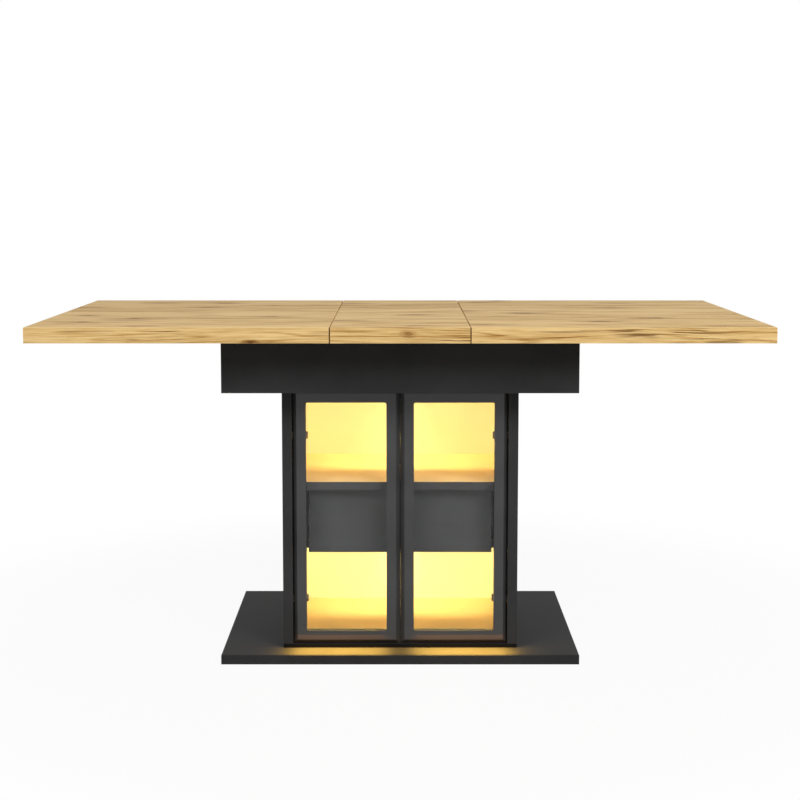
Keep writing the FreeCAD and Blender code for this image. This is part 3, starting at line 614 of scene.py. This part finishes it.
# Rubber strips that keep dust and light out of the gaps round the doors and under the shelf's edge. The
# strip under the shelf's edge also draws a painted shade line there, and a thin dark strip on the sill
# darkens the ledge in front of the doors as painted shade.
SEAL_REACH = 0.00096
SEAL_DEPTH = 0.0035
SEAL_BACK = 0.0053
SEAL_END = 0.0005
SEAL_RIBS = 3
SEAL_VALLEY_SHARE = 0.55
WALL_STRIP_GAP = 0.0003
WALL_STRIP_DEPTH = 0.008
WALL_STRIP_REACH = 0.0016
HINGE_HEIGHT = 0.016
HINGE_ROOM = 0.001
SHELF_STRIP_DROP = 0.0017
SHELF_STRIP_DEPTH = 0.006
SILL_STRIP_HEIGHT = 0.0005
SILL_STRIP_INSET = 0.001
seal_rubber = black_board("seal_rubber", BLACK_RUBBER, 0.8, 0.05)


def prism(mesh, outline, start, end):
    """Adds a straight bar to a mesh under work: the outline at start, joined to the outline at end."""
    rings = [[mesh.verts.new(point + place) for point in outline] for place in (start, end)]
    for ring in rings:
        mesh.faces.new(ring)
    first, second = rings
    for i in range(len(outline)):
        mesh.faces.new((first[i - 1], first[i], second[i], second[i - 1]))


def strip(name, outline, spans, body):
    """A rubber strip with the same outline in every span of its length."""
    work = bmesh.new()
    for start, end in spans:
        prism(work, outline, start, end)
    bmesh.ops.recalc_face_normals(work, faces=work.faces)
    mesh = bpy.data.meshes.new(name)
    work.to_mesh(mesh)
    work.free()
    mesh.materials.append(seal_rubber)
    made = bpy.data.objects.new(name, mesh)
    scene.collection.objects.link(made)
    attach(made, body)


def ribbed(root, reach, front, depth):
    """Outline of a strip that stands on a wall at x = root, with ribs that reach out from it."""
    points = [Vector((root, front + depth, 0)), Vector((root, front, 0))]
    count = 2 * SEAL_RIBS
    for rib in range(count + 1):
        share = 1.0 if rib % 2 else SEAL_VALLEY_SHARE
        points.append(Vector((root + share * reach, front + depth * rib / count, 0)))
    return points


def upright(low, high):
    return Vector((0, 0, low)), Vector((0, 0, high))


for side, way in SIDES:
    door_low, door_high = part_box(side + "_door_frame")
    panel_low, panel_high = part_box(side + "_side_panel")
    arms_low, arms_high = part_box(side + "_hinge_arms")
    strip_low = door_low.z + SEAL_END
    strip_high = door_high.z - SEAL_END

    meeting_edge = min(door_low.x, door_high.x, key=abs)
    seal_front = door_high.y - SEAL_DEPTH - SEAL_BACK
    seal = ribbed(meeting_edge, -way * SEAL_REACH, seal_front, SEAL_DEPTH)
    strip(side + "_door_seal", seal, [upright(strip_low, strip_high)], side + "_door")

    wall = min(panel_low.x, panel_high.x, key=abs)
    strip_front = door_high.y + WALL_STRIP_GAP
    wall_strip = ribbed(wall, -way * WALL_STRIP_REACH, strip_front, WALL_STRIP_DEPTH)
    hinge_space = HINGE_HEIGHT + HINGE_ROOM
    spans = [
        upright(strip_low, arms_low.z - HINGE_ROOM),
        upright(arms_low.z + hinge_space, arms_high.z - hinge_space),
        upright(arms_high.z + HINGE_ROOM, strip_high),
    ]
    strip(side + "_wall_strip", wall_strip, spans, "carcass")


def flat_strip(name, front, back, foot, height, left, right):
    """A strip across the cabinet, on the flat face at z = foot. It hangs where height is below 0."""
    lip = (front + back) / 2
    outline = [Vector((0, front, foot)), Vector((0, back, foot))]
    outline += [Vector((0, lip, foot + height)), Vector((0, front, foot + height))]
    strip(name, outline, [(Vector((left, 0, 0)), Vector((right, 0, 0)))], "carcass")


shelf_low, shelf_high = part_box("upper_shelf")
sill_low, sill_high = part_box("bottom_panel")
walls = (shelf_low.x, shelf_high.x)
shelf_strip_back = shelf_low.y + SHELF_STRIP_DEPTH
# A dark strip hanging under the shelf's front edge: a painted shade line.
flat_strip("shelf_edge_shade_strip", shelf_low.y, shelf_strip_back, shelf_low.z, -SHELF_STRIP_DROP, *walls)
# A thin dark strip on the ledge in front of the doors: painted shade.
sill_front = sill_low.y + SILL_STRIP_INSET
flat_strip("sill_shade_strip", sill_front, shelf_low.y, sill_high.z, SILL_STRIP_HEIGHT, *walls)


def aim(thing, target):
    thing.rotation_euler = (Vector(target) - thing.location).to_track_quat("-Z", "Y").to_euler()


def area_lamp(name, place, size, power, colour=(1.0, 1.0, 1.0)):
    data = bpy.data.lights.new(name, "AREA")
    data.shape = "RECTANGLE"
    data.size, data.size_y = size
    data.energy = power
    data.color = colour
    lamp = bpy.data.objects.new(name, data)
    scene.collection.objects.link(lamp)
    lamp.location = place
    lamp.visible_camera = False
    lamp.visible_glossy = False
    lamp.visible_transmission = False
    return lamp


key_x, key_y, key_z = KEY_PLACE
key_size = (KEY_SIZE, KEY_SIZE)
right_key = area_lamp("right_key", (key_x, key_y, key_z), key_size, KEY_POWER)
left_key = area_lamp("left_key", (-key_x, key_y, key_z), key_size, KEY_POWER * KEY_LEFT_SHARE)
# The panes let all the key light through, so the bottom panel is left to the bar lamps and the sky.
shaded = bpy.data.collections.new("shaded_from_keys")
shaded.objects.link(nodes["bottom_panel"])
shaded.collection_objects[0].light_linking.link_state = "EXCLUDE"
for key in (right_key, left_key):
    aim(key, KEY_TARGET)
    key.light_linking.receiver_collection = shaded

for bar in ("upper", "lower"):
    low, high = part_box(bar + "_light_diffuser")
    place = ((low.x + high.x) / 2, (low.y + high.y) / 2, low.z - BAR_DROP)
    lamp = area_lamp(bar + "_bar_lamp", place, (BAR_LENGTH, BAR_WIDTH), BAR_POWER, BAR_COLOUR)
    lamp.data.spread = BAR_BEAM
    lamp.rotation_euler = (BAR_TILT, 0.0, 0.0)

# The bar lamps shine to the back, so these lamps stand in for the light that falls out of the windows.
glow_x, glow_y, glow_z = GLOW_PLACE
for target, pieces, power, colour in (
    ("plate", ("base_plate",), GLOW_POWER, GLOW_COLOUR),
    ("doors", both("door_frame"), GLOW_DOOR_POWER, GLOW_DOOR_COLOUR),
):
    lit = bpy.data.collections.new(target + "_in_glow")
    for name in pieces:
        lit.objects.link(nodes[name])
    for side, way in SIDES:
        place = (way * glow_x, glow_y, glow_z)
        lamp = area_lamp(f"{side}_{target}_glow", place, GLOW_SIZE, power, colour)
        lamp.light_linking.receiver_collection = lit


def seen_directly(tree):
    """1 for rays from the camera, or from mirrors and glass."""
    path = tree.nodes.new("ShaderNodeLightPath")
    total = path.outputs["Is Camera Ray"]
    for name in ("Is Glossy Ray", "Is Transmission Ray"):
        larger = tree.nodes.new("ShaderNodeMath")
        larger.operation = "MAXIMUM"
        tree.links.new(total, larger.inputs[0])
        tree.links.new(path.outputs[name], larger.inputs[1])
        total = larger.outputs[0]
    return total


def mix_shaders(tree, share, first, second, target):
    mix = tree.nodes.new("ShaderNodeMixShader")
    tree.links.new(share, mix.inputs[0])
    tree.links.new(first, mix.inputs[1])
    tree.links.new(second, mix.inputs[2])
    tree.links.new(mix.outputs[0], target)


world = bpy.data.worlds.new("studio")
scene.world = world
world.use_nodes = True
sky_tree = world.node_tree
sky = sky_tree.nodes["Background"]
sky.inputs["Color"].default_value = WHITE
sky.inputs["Strength"].default_value = SKY_LEVEL
backdrop = sky_tree.nodes.new("ShaderNodeBackground")
backdrop.inputs["Color"].default_value = WHITE
backdrop.inputs["Strength"].default_value = BACKDROP_LEVEL
sky_end = sky_tree.nodes["World Output"].inputs["Surface"]
mix_shaders(sky_tree, seen_directly(sky_tree), sky.outputs[0], backdrop.outputs[0], sky_end)


def floor_material():
    """Pale floor that keeps the object's shadow near by and fades into the white backdrop."""
    r = Recipe("studio_floor")
    r.set(Base_Color=FLOOR_GREY, Roughness=FLOOR_ROUGHNESS, Specular_IOR_Level=0.0)
    glow = r.add("ShaderNodeEmission", {"Color": WHITE, "Strength": BACKDROP_LEVEL})
    length = r.add("ShaderNodeVectorMath", {0: r.coordinates()}, operation="LENGTH")
    share = r.step(length.outputs["Value"], *FLOOR_BLEND, *FLOOR_WHITE_SHARES)
    share = r.math("MULTIPLY", share, seen_directly(r.tree))
    end = r.tree.nodes["Material Output"].inputs["Surface"]
    mix_shaders(r.tree, share, r.surface.outputs[0], glow.outputs[0], end)
    return r.material


half = FLOOR_SIZE / 2
floor_mesh = bpy.data.meshes.new("studio_floor")
corners = [(-half, -half, 0), (half, -half, 0), (half, half, 0), (-half, half, 0)]
floor_mesh.from_pydata(corners, [], [(0, 1, 2, 3)])
floor_mesh.materials.append(floor_material())
floor = bpy.data.objects.new("studio_floor", floor_mesh)
scene.collection.objects.link(floor)

camera_data = bpy.data.cameras.new("camera")
camera_data.sensor_width = SENSOR
camera_data.lens = FOCAL_PIXELS / PICTURE * SENSOR
camera_data.shift_x = (PICTURE / 2 - AXIS_PIXEL[0]) / PICTURE
camera_data.shift_y = (AXIS_PIXEL[1] - PICTURE / 2) / PICTURE
camera = bpy.data.objects.new("camera", camera_data)
scene.collection.objects.link(camera)
camera.location = CAMERA_PLACE
camera.rotation_euler = (math.pi / 2 - CAMERA_PITCH, 0.0, 0.0)
scene.camera = camera
scene.view_settings.view_transform = "Standard"
